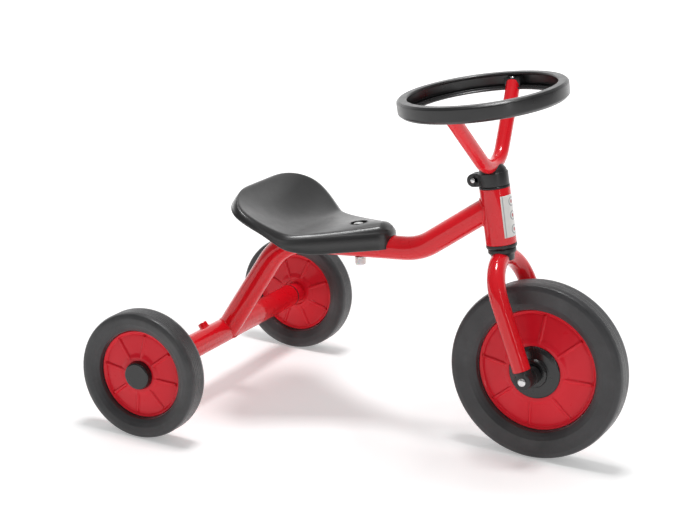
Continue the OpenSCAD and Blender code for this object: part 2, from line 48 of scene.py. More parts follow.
# ---------------------------------------------------------------- dimensions
FRONT_R, REAR_R = 100.0, 72.0
FRONT_TYRE_W, REAR_TYRE_W = 33.2, 29.8
FRONT_RIM_R, REAR_RIM_R = 69.2, 50.2
REAR_X, FRONT_X = -212.0, 184.0
HALF_TRACK = 183.6
HEAD_ANGLE = radians(11.4)
FORK_OFFSET = 26.5
CROWN_Z = 127.5
ARCH_R = 43.0
FORK_R = 10.0
LEG_GAP = 11.0
CAP_W = 18.0
HEAD_Z0 = 143.0
HEAD_Z1 = 205.5
HEAD_R = 17.0
CLAMP_Z0, CLAMP_Z1 = HEAD_Z1 + 2.4, HEAD_Z1 + 17.0
LUG_X = 21.5
RING_Z = HEAD_Z0 + 162.7
RING_R, RING_H = 93.2, 18.6
BAR_R, BAR_BEND = 8.0, 40.0
BAR_X = 2.0
BAR_APEX_Z, BAR_END_Z = RING_Z - 95.7, RING_Z - 3.0
ARM_ANGLE = radians(42)
BAR_LEAN, BAR_TURN, RING_PITCH = radians(3.6), radians(-1.7), radians(1.5)
MAIN_R, AXLE_TUBE_R = 13.5, 14.0
MAIN_BEND = 65.0
TUBE_HALF = HALF_TRACK - 25.5
BOSS_Y, BOSS_TILT = 37.0, radians(-38)
ROD_R = 5.0
RIBS = 8
RIB_W, RIB_H = 2.6, 1.6
GROOVE_STEP, GROOVE_DEPTH = 3.1, 0.45

LOW = np.array([REAR_X + 1.5, 0, REAR_R])
BACK = np.array([REAR_X + 72.7, 0, REAR_R + 123.2])
FRONT = BACK + [172.7, 0, 16.8]
HEAD = np.array([FRONT_X - 63, 0, FRONT_R + 178.3])
RUN_LIFT = asin((FRONT - BACK)[2] / np.linalg.norm(FRONT - BACK))


def turn_y(angle):
    return Matrix.Rotation(angle, 4, "Y")


def turn_x(angle):
    return Matrix.Rotation(angle, 4, "X")


def move(x, y, z):
    return Matrix.Translation((x, y, z))


# Places of the pieces: steering axis, fork crown, wheels and the seat bolt.
HERE = Matrix.Identity(4)
STEER = move(
    FRONT_X - FORK_OFFSET * cos(HEAD_ANGLE), 0, FRONT_R - FORK_OFFSET * sin(HEAD_ANGLE)
) @ turn_y(-HEAD_ANGLE)
FORK = STEER @ move(0, 0, CROWN_Z) @ turn_y(-atan2(FORK_OFFSET, CROWN_Z))
FORK_LEN = sqrt(CROWN_Z**2 + FORK_OFFSET**2)
HANDLE = STEER @ move(0, 0, BAR_APEX_Z) @ Matrix.Rotation(BAR_TURN, 4, "Z") @ turn_x(
    BAR_LEAN) @ move(0, 0, -BAR_APEX_Z)
RING_AT = HANDLE @ move(BAR_X, 0, RING_Z) @ turn_y(RING_PITCH)
FRONT_AXLE = move(FRONT_X, 0, FRONT_R) @ turn_x(pi / 2)
BOLT_X = FRONT[0] - 74.4
SEAT_BOLT = move(BOLT_X, 0, BACK[2] + (BOLT_X - BACK[0]) * tan(RUN_LIFT)) @ turn_y(-RUN_LIFT)


def rear_axle(side):
    return move(REAR_X, side * HALF_TRACK, REAR_R) @ turn_x(-side * pi / 2)


# ------------------------------------------------------------ mesh building
def build(name, parts, body, material, replaces=(), at=HERE, sharp=38):
    """One piece from (vertices, faces) parts drawn in millimetres."""
    verts, faces, start = [], [], 0
    for v, f in parts:
        verts.append(np.asarray(v, float).reshape(-1, 3))
        faces += [[i + start for i in face] for face in f]
        start += len(verts[-1])
    mesh = placed_mesh(name, np.vstack(verts), faces, at)
    return finish_piece(name, mesh, body, material, replaces, sharp)


def placed_mesh(name, verts, faces, at):
    m = np.array(at)
    mesh = bpy.data.meshes.new(name)
    mesh.from_pydata(((verts @ m[:3, :3].T + m[:3, 3]) * MM).tolist(), [], faces)
    clean(mesh)
    return mesh


def clean(mesh):
    """Merges doubled points, drops degenerate faces and turns all faces outward."""
    bm = bmesh.new()
    bm.from_mesh(mesh)
    bmesh.ops.remove_doubles(bm, verts=bm.verts, dist=2e-6)
    bmesh.ops.dissolve_degenerate(bm, edges=bm.edges, dist=1e-6)
    bmesh.ops.recalc_face_normals(bm, faces=bm.faces)
    bm.to_mesh(mesh)
    bm.free()


def finish_piece(name, mesh, body, material, replaces, sharp):
    """Shades a mesh and links it as a piece that rides on a body."""
    mesh.shade_smooth()
    mesh.set_sharp_from_angle(angle=radians(sharp))
    mesh.materials.clear()
    mesh.materials.append(material)
    piece = bpy.data.objects.new(name, mesh)
    bpy.context.scene.collection.objects.link(piece)
    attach(piece, body)
    if replaces:
        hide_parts(*replaces)
    return piece


def grid_faces(rows, columns, wrap_rows=False, wrap_columns=True):
    """Quads over a grid of points, closed round in either direction."""
    faces = []
    for i in range(rows if wrap_rows else rows - 1):
        for j in range(columns if wrap_columns else columns - 1):
            a, b = i * columns, (i + 1) % rows * columns
            k = (j + 1) % columns
            faces.append([a + j, a + k, b + k, b + j])
    return faces


def rounded(corners, closed=True, steps=5):
    """Rounds each (r, z, radius) corner of an outline."""
    out, n = [], len(corners)
    for i, (a, b, r) in enumerate(corners):
        p = np.array([a, b], float)
        if r <= 0 or (not closed and i in (0, n - 1)):
            out.append(p)
            continue
        before = np.array(corners[i - 1][:2], float) - p
        after = np.array(corners[(i + 1) % n][:2], float) - p
        la, lb = np.linalg.norm(before), np.linalg.norm(after)
        half = acos(np.clip(before @ after / (la * lb), -1, 1)) / 2
        t = min(r / tan(max(half, 0.05)), 0.48 * la, 0.48 * lb)
        start, end = p + before / la * t, p + after / lb * t
        for k in range(steps + 1):
            s = k / steps
            out.append((1 - s) ** 2 * start + 2 * s * (1 - s) * p + s * s * end)
    return np.array(out)


def lathe(outline, segments=96, closed=True, height=None):
    """Turns an (r, z) outline round Z. height(r, z, angle) may move each point."""
    angles = np.arange(segments) * 2 * pi / segments
    rows = []
    for r, z in outline:
        zs = np.full(segments, z) if height is None else height(r, z, angles)
        rows.append(np.column_stack([r * np.cos(angles), r * np.sin(angles), zs]))
    return np.vstack(rows), grid_faces(len(rows), segments, wrap_rows=closed)


def moved(part, matrix):
    m = np.array(matrix)
    return part[0] @ m[:3, :3].T + m[:3, 3], part[1]


def mirrored(part):
    """The same part on the other side of the plane of symmetry."""
    return part[0] * [1, -1, 1], part[1]


def unit(v):
    return v / np.linalg.norm(v, axis=-1, keepdims=True)


def bent(corners, radius, step=3.0):
    """Points along a polyline whose corners are bent to one radius."""
    corners = [np.asarray(c, float) for c in corners]
    out = [corners[0]]
    for a, p, b in zip(corners, corners[1:], corners[2:]):
        u, v = unit(p - a), unit(b - p)
        turn = acos(np.clip(u @ v, -1, 1))
        start = p - u * radius * tan(turn / 2)
        inward = unit(v - u * (u @ v))
        steps = max(6, int(np.degrees(turn) / step))
        for k in range(steps + 1):
            t = turn * k / steps
            out.append(start + u * radius * sin(t) + inward * radius * (1 - cos(t)))
    out.append(corners[-1])
    path = [out[0]]
    for a, b in zip(out, out[1:]):
        pieces = max(1, int(np.linalg.norm(b - a) / 12))
        path += [a + (b - a) * k / pieces for k in range(1, pieces + 1)]
    return np.array(path)


def rings(path, radius, side, segments, closed=False):
    """Circles of points along a path, square to it. side fixes their turn."""
    ahead = np.roll(path, -1, 0) - path
    behind = path - np.roll(path, 1, 0)
    if not closed:
        ahead[-1], behind[0] = behind[-1], ahead[0]
    along = unit(unit(ahead) + unit(behind))
    side = np.broadcast_to(np.asarray(side, float), path.shape)
    across = unit(side - along * np.sum(side * along, 1, keepdims=True))
    normal = np.cross(along, across)
    t = np.arange(segments) * 2 * pi / segments
    size = np.broadcast_to(np.asarray(radius, float), (len(path),))
    circle = across[:, None] * np.cos(t)[:, None] + normal[:, None] * np.sin(t)[:, None]
    return path[:, None] + circle * size[:, None, None], along


def to_cylinder(points, direction, centre, axis, radius):
    """Slides points along a direction until they meet a cylinder."""
    axis = unit(np.asarray(axis, float))
    d = direction - axis * (direction @ axis)
    w = points - centre
    w = w - axis * (w @ axis)[:, None]
    a, b, c = d @ d, w @ d, np.sum(w * w, 1) - radius**2
    t = (-b - np.sqrt(np.maximum(b * b - a * c, 0))) / a
    return points + t[:, None] * direction


def tube(path, radius, side, segments=48, closed=False, wall=0.0, ends=(None, None)):
    """A swept round tube. With a wall it is hollow. ends cut it to a cylinder."""
    outer, along = rings(path, radius, side, segments, closed)
    shells = [outer]
    if wall > 0:
        shells.append(rings(path, radius - wall, side, segments, closed)[0])
    for i, cut in ((0, ends[0]), (-1, ends[1])):
        if cut is not None:
            heading = along[i] * (-1 if i == 0 else 1)
            for shell in shells:
                shell[i] = to_cylinder(shell[i] - heading * 40, heading, *cut)
    n = len(path)
    if wall > 0:
        verts = np.vstack([outer.reshape(-1, 3), shells[1][::-1].reshape(-1, 3)])
        return verts, grid_faces(2 * n, segments, wrap_rows=True)
    faces = grid_faces(n, segments, wrap_rows=closed)
    if not closed:
        faces += [list(range(segments)), list(range((n - 1) * segments, n * segments))]
    return outer.reshape(-1, 3), faces


def weld(centre, along, side, radius, cut, size=1.5, ripples=46):
    """A rippled bead where a round tube meets a cylinder."""
    count = 4 * ripples
    t = np.arange(count) * 2 * pi / count
    across = unit(np.asarray(side, float))
    normal = np.cross(along, across)
    around = across * np.cos(t)[:, None] + normal * np.sin(t)[:, None]
    loop = to_cylinder(centre + around * radius - along * 40, along, *cut)
    thick = size * (1 + 0.10 * np.cos(ripples * t) + 0.05 * np.sin(5 * t + 1))
    return tube(loop, thick, around, segments=12, closed=True)


def box(x, y, z, round_by=1.0, steps=3):
    """A box with rounded edges, from three (low, high) pairs."""
    bm = bmesh.new()
    bmesh.ops.create_cube(bm, size=1)
    for v in bm.verts:
        for k, (low, high) in enumerate((x, y, z)):
            v.co[k] = low + (v.co[k] + 0.5) * (high - low)
    bmesh.ops.bevel(
        bm, geom=bm.edges[:], offset=round_by, segments=steps, profile=0.5, affect="EDGES"
    )
    bm.verts.index_update()
    verts = np.array([v.co[:] for v in bm.verts])
    faces = [[v.index for v in f.verts] for f in bm.faces]
    bm.free()
    return verts, faces


def dome(r, h, z=0.0, lip=0.5):
    """A domed head of radius r standing on z."""
    outline = [(0, z), (r, z), (r, z + lip)]
    outline += [(r * cos(a), z + lip + (h - lip) * sin(a)) for a in np.linspace(0, pi / 2, 9)[1:]]
    return lathe(outline, 40, closed=False)


def shaft(r, z0, z1, chamfer=0.5):
    outline = [(0, z0), (r - chamfer, z0), (r, z0 + chamfer), (r, z1 - chamfer)]
    return lathe(outline + [(r - chamfer, z1), (0, z1)], 40, closed=False)


def hexagon(r, z0, z1, chamfer=0.6):
    """A hexagonal nut body with chamfered corners."""
    parts = [(r - chamfer, z0), (r, z0 + chamfer), (r, z1 - chamfer), (r - chamfer, z1)]
    return lathe([(0, z0)] + parts + [(0, z1)], 6, closed=False)


# ----------------------------------------------------------------- materials
class Shader:
    """A small node tree around one Principled shader."""

    def __init__(self, name, **sockets):
        self.material = bpy.data.materials.new(name)
        self.material.use_nodes = True
        self.tree = self.material.node_tree
        self.bsdf = self.tree.nodes["Principled BSDF"]
        for key, value in sockets.items():
            self.bsdf.inputs[key.replace("_", " ")].default_value = value
        self.place = self.add("TexCoord").outputs["Object"]

    def add(self, kind, **settings):
        node = self.tree.nodes.new("ShaderNode" + kind)
        for key, value in settings.items():
            setattr(node, key, value)
        return node

    def link(self, a, b):
        self.tree.links.new(a, b)

    def noise(self, scale, detail=4.0, roughness=0.55, stretch=None):
        node = self.add("TexNoise")
        node.inputs["Scale"].default_value = scale
        node.inputs["Detail"].default_value = detail
        node.inputs["Roughness"].default_value = roughness
        place = self.place
        if stretch:
            mapping = self.add("Mapping")
            mapping.inputs["Scale"].default_value = stretch
            self.link(place, mapping.inputs["Vector"])
            place = mapping.outputs["Vector"]
        self.link(place, node.inputs["Vector"])
        return node.outputs["Fac"]

    def cells(self, scale):
        node = self.add("TexVoronoi", feature="F1")
        node.inputs["Scale"].default_value = scale
        self.link(self.place, node.inputs["Vector"])
        return node.outputs["Distance"]

    def ramp(self, value, low, high, a, b):
        node = self.add("MapRange", clamp=True)
        self.link(value, node.inputs["Value"])
        for key, v in zip(("From Min", "From Max", "To Min", "To Max"), (low, high, a, b)):
            node.inputs[key].default_value = v
        return node.outputs["Result"]

    def math(self, operation, a, b=0.0):
        node = self.add("Math", operation=operation)
        for socket, value in zip(node.inputs, (a, b)):
            if isinstance(value, (int, float)):
                socket.default_value = value
            else:
                self.link(value, socket)
        return node.outputs[0]

    def mix(self, factor, a, b):
        node = self.add("Mix", data_type="RGBA")
        sockets = [s for s in node.inputs if s.type == "RGBA"]
        self.link(factor, node.inputs["Factor"])
        for socket, value in zip(sockets, (a, b)):
            if isinstance(value, tuple):
                socket.default_value = (*value, 1)
            else:
                self.link(value, socket)
        return next(s for s in node.outputs if s.type == "RGBA")

    def edges(self, radius):
        """0 on flats, towards 1 on sharp edges."""
        bevel = self.add("Bevel", samples=4)
        bevel.inputs["Radius"].default_value = radius
        flat = self.add("NewGeometry").outputs["Normal"]
        dot = self.add("VectorMath", operation="DOT_PRODUCT")
        self.link(bevel.outputs["Normal"], dot.inputs[0])
        self.link(flat, dot.inputs[1])
        return self.ramp(dot.outputs["Value"], 0.97, 0.80, 0.0, 1.0)

    def bump(self, value, distance, strength=1.0, before=None):
        node = self.add("Bump")
        node.inputs["Distance"].default_value = distance
        node.inputs["Strength"].default_value = strength
        self.link(value, node.inputs["Height"])
        if before is not None:
            self.link(before, node.inputs["Normal"])
        self.link(node.outputs["Normal"], self.bsdf.inputs["Normal"])
        return node.outputs["Normal"]

    def color(self, value):
        self.link(value, self.bsdf.inputs["Base Color"])

    def rough(self, value):
        self.link(value, self.bsdf.inputs["Roughness"])


def powder_coat():
    s = Shader(
        "red_powder_coat",
        Coat_Weight=0.8,
        Coat_Roughness=0.04,
        Specular_IOR_Level=0.12,
    )
    patches = s.ramp(s.noise(9, 3), 0.3, 0.7, 0, 1)
    base = s.mix(patches, (0.76, 0.006, 0.014), (0.83, 0.009, 0.019))
    edge = s.math("MULTIPLY", s.edges(0.0006), s.ramp(s.noise(160, 5), 0.45, 0.7, 0, 0.3))
    s.color(s.mix(edge, base, (0.86, 0.06, 0.06)))
    s.rough(s.ramp(s.noise(60, 5), 0.3, 0.7, 0.24, 0.34))
    peel = s.bump(s.noise(520, 2), 0.00006, 0.5)
    s.bump(s.noise(45, 2), 0.0002, 0.12, before=peel)
    return s.material


def red_plastic():
    s = Shader("red_plastic", Coat_Weight=0.2, Coat_Roughness=0.10, Specular_IOR_Level=0.22)
    patches = s.ramp(s.noise(14, 3), 0.3, 0.7, 0, 1)
    base = s.mix(patches, (0.78, 0.008, 0.022), (0.84, 0.012, 0.030))
    flow = s.ramp(s.noise(30, 4, stretch=(1, 6, 1)), 0.35, 0.75, 0, 0.35)
    base = s.mix(flow, base, (0.88, 0.020, 0.038))
    s.color(s.mix(s.math("MULTIPLY", s.edges(0.0006), 0.35), base, (0.90, 0.10, 0.11)))
    s.rough(s.ramp(s.noise(90, 5), 0.3, 0.7, 0.27, 0.37))
    grain = s.bump(s.noise(1400, 2), 0.00003, 0.5)
    s.bump(s.noise(70, 2), 0.0002, 0.10, before=grain)
    return s.material


def tyre_rubber():
    s = Shader("tyre_rubber", Specular_IOR_Level=0.6, Sheen_Weight=0.45, Sheen_Roughness=0.35)
    worn = s.ramp(s.noise(26, 6, 0.65), 0.35, 0.7, 0, 1)
    base = s.mix(worn, (0.026, 0.026, 0.028), (0.044, 0.044, 0.047))
    dust = s.ramp(s.noise(9, 5, 0.7), 0.56, 0.78, 0, 0.55)
    base = s.mix(dust, base, (0.085, 0.083, 0.082))
    s.color(s.mix(s.math("MULTIPLY", s.edges(0.0008), 0.3), base, (0.10, 0.10, 0.10)))
    s.rough(s.ramp(s.noise(40, 6, 0.65), 0.3, 0.7, 0.34, 0.50))
    grain = s.bump(s.noise(700, 5, 0.75), 0.00022, 0.7)
    s.bump(s.noise(120, 3), 0.0003, 0.18, before=grain)
    return s.material


def black_plastic(name, tone, rough, grain_scale, grain, coat=0.0, blur=0.15, sheen=0.0):
    s = Shader(
        name,
        Specular_IOR_Level=0.5,
        Coat_Weight=coat,
        Coat_Roughness=blur,
        Sheen_Weight=sheen,
        Sheen_Roughness=0.3,
    )
    patches = s.ramp(s.noise(12, 4), 0.3, 0.7, 0, 1)
    base = s.mix(patches, (tone, tone, tone * 1.06), (tone * 1.45, tone * 1.45, tone * 1.5))
    scuff = s.ramp(s.noise(70, 7, 0.72, stretch=(1, 4, 1)), 0.60, 0.80, 0, 0.35)
    base = s.mix(scuff, base, (tone * 3.2, tone * 3.2, tone * 3.3))
    s.color(s.mix(s.math("MULTIPLY", s.edges(0.0006), 0.35), base, (0.09, 0.09, 0.092)))
    s.rough(s.ramp(s.noise(55, 6, 0.6), 0.3, 0.7, rough - 0.05, rough + 0.07))
    fine = s.bump(s.cells(grain_scale), 0.00006, grain)
    s.bump(s.noise(38, 2), 0.0003, 0.08, before=fine)
    return s.material


def zinc():
    s = Shader("zinc_steel", Metallic=1.0)
    patches = s.ramp(s.noise(300, 5), 0.3, 0.7, 0, 1)
    base = s.mix(patches, (0.62, 0.62, 0.63), (0.80, 0.80, 0.79))
    s.color(s.mix(s.edges(0.0004), base, (0.9, 0.9, 0.89)))
    s.rough(s.ramp(s.noise(700, 4, stretch=(1, 1, 8)), 0.3, 0.7, 0.20, 0.38))
    s.bump(s.noise(1600, 3), 0.00003, 0.4)
    return s.material


def pale_nylon(name, tone, warmth):
    s = Shader(
        name,
        Subsurface_Weight=0.25,
        Subsurface_Scale=0.002,
        Specular_IOR_Level=0.5,
    )
    patches = s.ramp(s.noise(200, 4), 0.3, 0.7, 0, 1)
    pale = (tone, tone * (1 - warmth / 2), tone * (1 - warmth))
    s.color(s.mix(patches, pale, tuple(v * 0.9 for v in pale)))
    s.rough(s.ramp(s.noise(400, 4), 0.3, 0.7, 0.32, 0.45))
    s.bump(s.noise(1500, 3), 0.00003, 0.4)
    return s.material


def sticker():
    """A printed label with a row of plain dots and two border lines."""
    s = Shader("sticker_print", Coat_Weight=0.5, Coat_Roughness=0.12)
    split = s.add("SeparateXYZ")
    s.link(s.add("TexCoord").outputs["UV"], split.inputs[0])
    u, v = split.outputs[0], split.outputs[1]
    across = s.math("MULTIPLY", s.math("SUBTRACT", u, 0.5), 2.0)
    up = s.math("SUBTRACT", s.math("FRACT", s.math("MULTIPLY", v, 3.0)), 0.5)
    reach = s.math("SQRT", s.math("ADD", s.math("POWER", across, 2.0), s.math("POWER", up, 2.0)))
    ring_out = s.ramp(reach, 0.34, 0.36, 1, 0)
    ring_in = s.ramp(reach, 0.24, 0.26, 1, 0)
    core = s.ramp(reach, 0.13, 0.15, 1, 0)
    border = s.ramp(s.math("ABSOLUTE", across), 0.80, 0.83, 0, 1)
    outer = s.ramp(s.math("ABSOLUTE", across), 0.88, 0.91, 1, 0)
    paper = s.mix(s.ramp(s.noise(120, 4), 0.3, 0.7, 0, 1), (0.78, 0.77, 0.75), (0.84, 0.83, 0.80))
    ink = s.mix(ring_out, paper, (0.36, 0.36, 0.37))
    ink = s.mix(ring_in, ink, paper)
    ink = s.mix(core, ink, (0.45, 0.02, 0.03))
    s.color(s.mix(s.math("MULTIPLY", border, outer), ink, (0.42, 0.42, 0.43)))
    s.rough(s.ramp(s.noise(300, 3), 0.3, 0.7, 0.30, 0.42))
    s.bump(s.noise(900, 2), 0.00003, 0.3)
    return s.material


RED = powder_coat()
RED_PLASTIC = red_plastic()
RUBBER = tyre_rubber()
SEAT_BLACK = black_plastic("seat_plastic", 0.009, 0.36, 2600, 0.30, coat=0.6, blur=0.27, sheen=0.5)
RING_BLACK = black_plastic("ring_plastic", 0.012, 0.30, 2200, 0.20, coat=0.15, sheen=0.2)
HUB_BLACK = black_plastic("hub_plastic", 0.010, 0.24, 1800, 0.10, coat=0.3)
TRIM_BLACK = black_plastic("trim_plastic", 0.013, 0.33, 2200, 0.20)
ZINC = zinc()
NYLON = pale_nylon("pale_nylon", 0.78, 0.06)
PALE_CAP = pale_nylon("pale_cap", 0.96, 0.03)
STICKER = sticker()


# --------------------------------------------------------------------- frame
Y_SIDE = (0, 1, 0)
HEAD_CENTRE = np.array(STEER.translation)
HEAD_AXIS = np.array(STEER.to_3x3().col[2])
AXLE_CENTRE = np.array([REAR_X, 0, REAR_R])
AXLE_AXIS = np.array([0, 1.0, 0])

main_path = bent([LOW, BACK, FRONT, HEAD], MAIN_BEND)
low_cut = (AXLE_CENTRE, AXLE_AXIS, AXLE_TUBE_R - 0.4)
head_cut = (HEAD_CENTRE, HEAD_AXIS, HEAD_R - 0.4)
build(
    "main_tube_painted",
    [tube(main_path[1:-1], MAIN_R, Y_SIDE, 64, wall=2.0, ends=(low_cut, head_cut))],
    "frame", RED, ["main_tube"],
)

low_dir, head_dir = unit(LOW - BACK), unit(HEAD - FRONT)
build(
    "weld_beads",
    [
        weld(LOW, low_dir, Y_SIDE, MAIN_R + 0.2, (AXLE_CENTRE, AXLE_AXIS, AXLE_TUBE_R), 0.8),
        weld(HEAD, head_dir, Y_SIDE, MAIN_R + 0.3, (HEAD_CENTRE, HEAD_AXIS, HEAD_R)),
    ],
    "frame", RED,
)

head_outline = rounded([
    (HEAD_R, HEAD_Z0, 0.8), (HEAD_R, HEAD_Z1, 0.8), (HEAD_R - 2, HEAD_Z1, 0.3),
    (HEAD_R - 2, HEAD_Z0, 0.3),
])
build("head_tube_painted", [lathe(head_outline, 96)], "frame", RED,
      ["head_tube"], STEER)

cross_outline = rounded([
    (AXLE_TUBE_R, -TUBE_HALF, 0.6), (AXLE_TUBE_R, TUBE_HALF, 0.6),
    (AXLE_TUBE_R - 2, TUBE_HALF, 0.3), (AXLE_TUBE_R - 2, -TUBE_HALF, 0.3),
])
build("cross_tube_painted", [lathe(cross_outline, 96)], "frame", RED,
      ["rear_axle_tube"], move(REAR_X, 0, REAR_R) @ turn_x(pi / 2))

boss_places = [move(REAR_X, side * BOSS_Y, REAR_R) @ turn_y(BOSS_TILT) for side in (-1, 1)]
boss_stub = lathe(
    rounded([(5.5, 13.2, 0), (5.5, 19.5, 0.7), (3, 19.5, 0.5), (3, 13.2, 0)]), 48)
boss_bead = weld(np.zeros(3), np.array([0, 0, -1.0]), (1, 0, 0), 5.6,
                 (np.zeros(3), AXLE_AXIS, AXLE_TUBE_R), 0.8, 22)
build("accessory_bosses_painted",
      [moved(part, place) for place in boss_places for part in (boss_stub, boss_bead)],
      "frame", RED, ["axle_bosses"])

thread_face = lathe(rounded([(3, 17, 0), (4.9, 19.4, 0.2), (4.7, 19.7, 0.1), (3.1, 19.6, 0.2),
                             (2.6, 17, 0)]), 48)
build("accessory_boss_threads", [moved(thread_face, place) for place in boss_places],
      "frame", ZINC)

lower_outline = rounded([
    (11.1, 138.6, 0.3), (16.2, 138.6, 1.0), (17.1, 140.2, 0.8), (17.1, 142.9, 0.5),
    (14.9, 142.9, 0.2), (14.9, 156, 0.5), (11.1, 156, 0.3),
])
build("lower_bearing_cup", [lathe(lower_outline, 96)], "frame", TRIM_BLACK,
      ["lower_head_bush"], STEER)
upper_outline = rounded([
    (11.1, HEAD_Z1 - 13, 0.3), (14.9, HEAD_Z1 - 13, 0.4), (14.9, HEAD_Z1 + 0.05, 0.1),
    (17.1, HEAD_Z1 + 0.05, 0.4), (16.9, HEAD_Z1 + 2, 0.6), (11.1, HEAD_Z1 + 2, 0.3),
])
build("upper_bearing_cup", [lathe(upper_outline, 96)], "frame", TRIM_BLACK,
      ["upper_head_bush"], STEER)

end_outline = rounded([
    (ROD_R + 0.1, -15.5, 0.2), (11.9, -15.5, 0.5), (11.9, 0.1, 0.1), (14, 0.1, 0.5),
    (13.6, 3, 0.9), (8.5, 3, 0.4), (8.0, 2.2, 0.3), (ROD_R + 0.1, 2.2, 0.2),
])
end_bush = lathe(end_outline, 72)
build("cross_tube_end_bushes",
      [moved(end_bush, move(REAR_X, TUBE_HALF, REAR_R) @ turn_x(-pi / 2)),
       moved(end_bush, move(REAR_X, -TUBE_HALF, REAR_R) @ turn_x(pi / 2))],
      "frame", TRIM_BLACK, ["axle_tube_bushes"])


def label_patch():
    """The sticker: a thin curved sheet with a UV map."""
    reach, low, high = radians(52), HEAD_Z0 + 8, HEAD_Z0 + 54
    columns, rows = 48, 24
    verts, uvs = [], []
    for i in range(rows + 1):
        for j in range(columns + 1):
            a = reach * (2 * j / columns - 1)
            verts.append((17.25 * cos(a), 17.25 * sin(a), low + (high - low) * i / rows))
            uvs.append((j / columns, i / rows))
    return verts, uvs, grid_faces(rows + 1, columns + 1, wrap_columns=False)


patch_verts, patch_uvs, patch_faces = label_patch()
badge = build("head_sticker", [(patch_verts, patch_faces)], "frame", STICKER,
              ["head_badge"], STEER)
uv_layer = badge.data.uv_layers.new(name="label")
for loop in badge.data.loops:
    uv_layer.data[loop.index].uv = patch_uvs[loop.vertex_index]
thicken = badge.modifiers.new("thickness", "SOLIDIFY")
thicken.thickness, thicken.offset = 0.0002, -1


# ---------------------------------------------------------------------- seat
# s runs back from the nose tip, and t across from -1 to 1 at the outline.
SEAT_X0 = FRONT[0] - 36.5
SEAT_LEN = 171.5
NOSE_LEN = 12.0
BACK_FROM, ROUND_FROM = 98.0, 108.0
SEAT_EDGE_Z = FRONT[2] + 18.2
NOSE_HALF_W = 15.0
BACK_RISE = 50.0
SEAT_T = 3.4
SHOULDER_DROP, SHOULDER_W = 3.0, 6.5
STATIONS, COLUMNS = 96, 20


def smooth01(t):
    t = np.clip(t, 0, 1)
    return t * t * (3 - 2 * t)


def seat_half_w(s):
    nose = np.sqrt(np.maximum(0, 1 - (np.maximum(NOSE_LEN - s, 0) / NOSE_LEN) ** 4))
    back = np.maximum(s - ROUND_FROM, 0) / (SEAT_LEN - ROUND_FROM)
    back = np.sqrt(np.maximum(0, 1 - back**3))
    flare = 0.57 * np.maximum(0, s - 4.5) + 5 * smooth01((s - 72) / 40)
    return (NOSE_HALF_W + flare) * nose * back


def seat_back_share(s, softness):
    """0 up to the foot of the back and 1 at its end, with a soft start."""
    share = (s - BACK_FROM) / (SEAT_LEN - BACK_FROM)
    return np.clip((share + np.hypot(share, softness)) / 2, 0, 1)


def seat_edge_z(s):
    rise = BACK_RISE * (1 - (1 - seat_back_share(s, 0.08)) ** 1.2)
    return SEAT_EDGE_Z - 0.12 * s + rise


def seat_dish(s):
    """Depth of the middle below the outline: crowned in front, hollow at the back."""
    crown = -5 + 5 * smooth01((s - 14.5) / 75)
    hollow = 15 * np.sin(pi * seat_back_share(s, 0.10))
    ends = smooth01((SEAT_LEN - s) / 25) * smooth01(s / NOSE_LEN)
    return (crown + hollow) * ends


def flange_h(s):
    """Depth of the turned-down edge, larger at the nose."""
    return 21 - 12 * smooth01((s - 64.5) / 60)


def seat_shoulder(s, t):
    """Height lost near the outline, where the top rolls over into the flange."""
    gaps = (seat_half_w(s) * (1 - abs(t)), s, SEAT_LEN - s)
    gap = sum((g + 0.01) ** -4.0 for g in gaps) ** -0.25
    return SHOULDER_DROP * (1 - np.clip(gap / SHOULDER_W, 0, 1)) ** 2


def seat_point(s, t):
    z = seat_edge_z(s) + 2 - seat_dish(s) * (1 - t * t) - seat_shoulder(s, t)
    return np.array([SEAT_X0 - s, seat_half_w(s) * t, z])


def seat_shell():
    """Closed shell: top, rolled flange and inside, as rings round the outline."""
    stations = SEAT_LEN * (1 - np.cos(pi * np.arange(STATIONS + 1) / STATIONS)) / 2
    loop = [(i, 1) for i in range(STATIONS)] + [(i, -1) for i in range(STATIONS, 0, -1)]
    s = np.array([stations[i] for i, _ in loop])
    side = np.array([k for _, k in loop], float)
    edge = np.array([seat_point(a, b) for a, b in zip(s, side)])
    plan = edge[:, :2]
    tangent = unit(np.roll(plan, -1, 0) - np.roll(plan, 1, 0))
    out = np.column_stack([-tangent[:, 1], tangent[:, 0], np.zeros(len(s))])
    out *= -np.sign(np.sum(out * (edge.mean(0) - edge), 1))[:, None]
    h = flange_h(s) - 1
    layers = []
    for k in range(COLUMNS):
        t = sin(pi / 2 * k / COLUMNS)
        layers.append(np.array([seat_point(a, b * t) for a, b in zip(s, side)]))
    inside = [p - [0, 0, SEAT_T] for p in layers]

    def ring(outward, drop):
        return edge + out * outward - np.outer(np.broadcast_to(drop, len(s)), [0, 0, 1.0])

    for outward, drop in ((0, 0), (0.9, 0.9), (1.7, 1.9), (2.4, 3.1), (2.9, 4.4), (3.3, 5.6)):
        layers.append(ring(outward, drop))
    for share in (0.4, 0.85):
        layers.append(ring(3.4 + 0.6 * share, 5.6 + (h - 6.9) * share))
    for outward, drop in ((4.5, -1.0), (4.5, -0.3), (4.0, 0.1), (2.0, 0.1), (1.4, -0.3)):
        layers.append(ring(outward, h + drop))
    for outward, drop in ((0.8, 7.2), (0.2, 6.0), (-0.6, SEAT_T + 1.4)):
        layers.append(ring(outward, drop))
    layers += reversed(inside)
    return np.vstack(layers), grid_faces(len(layers), len(s))


def evaluated(piece):
    """The piece's mesh with its modifiers applied."""
    bpy.context.view_layer.update()
    graph = bpy.context.evaluated_depsgraph_get()
    return bpy.data.meshes.new_from_object(piece.evaluated_get(graph))


def scratch(name, part, at=HERE):
    """A helper object for a boolean, removed after it."""
    piece = bpy.data.objects.new(name, placed_mesh(name, part[0], part[1], at))
    bpy.context.scene.collection.objects.link(piece)
    return piece


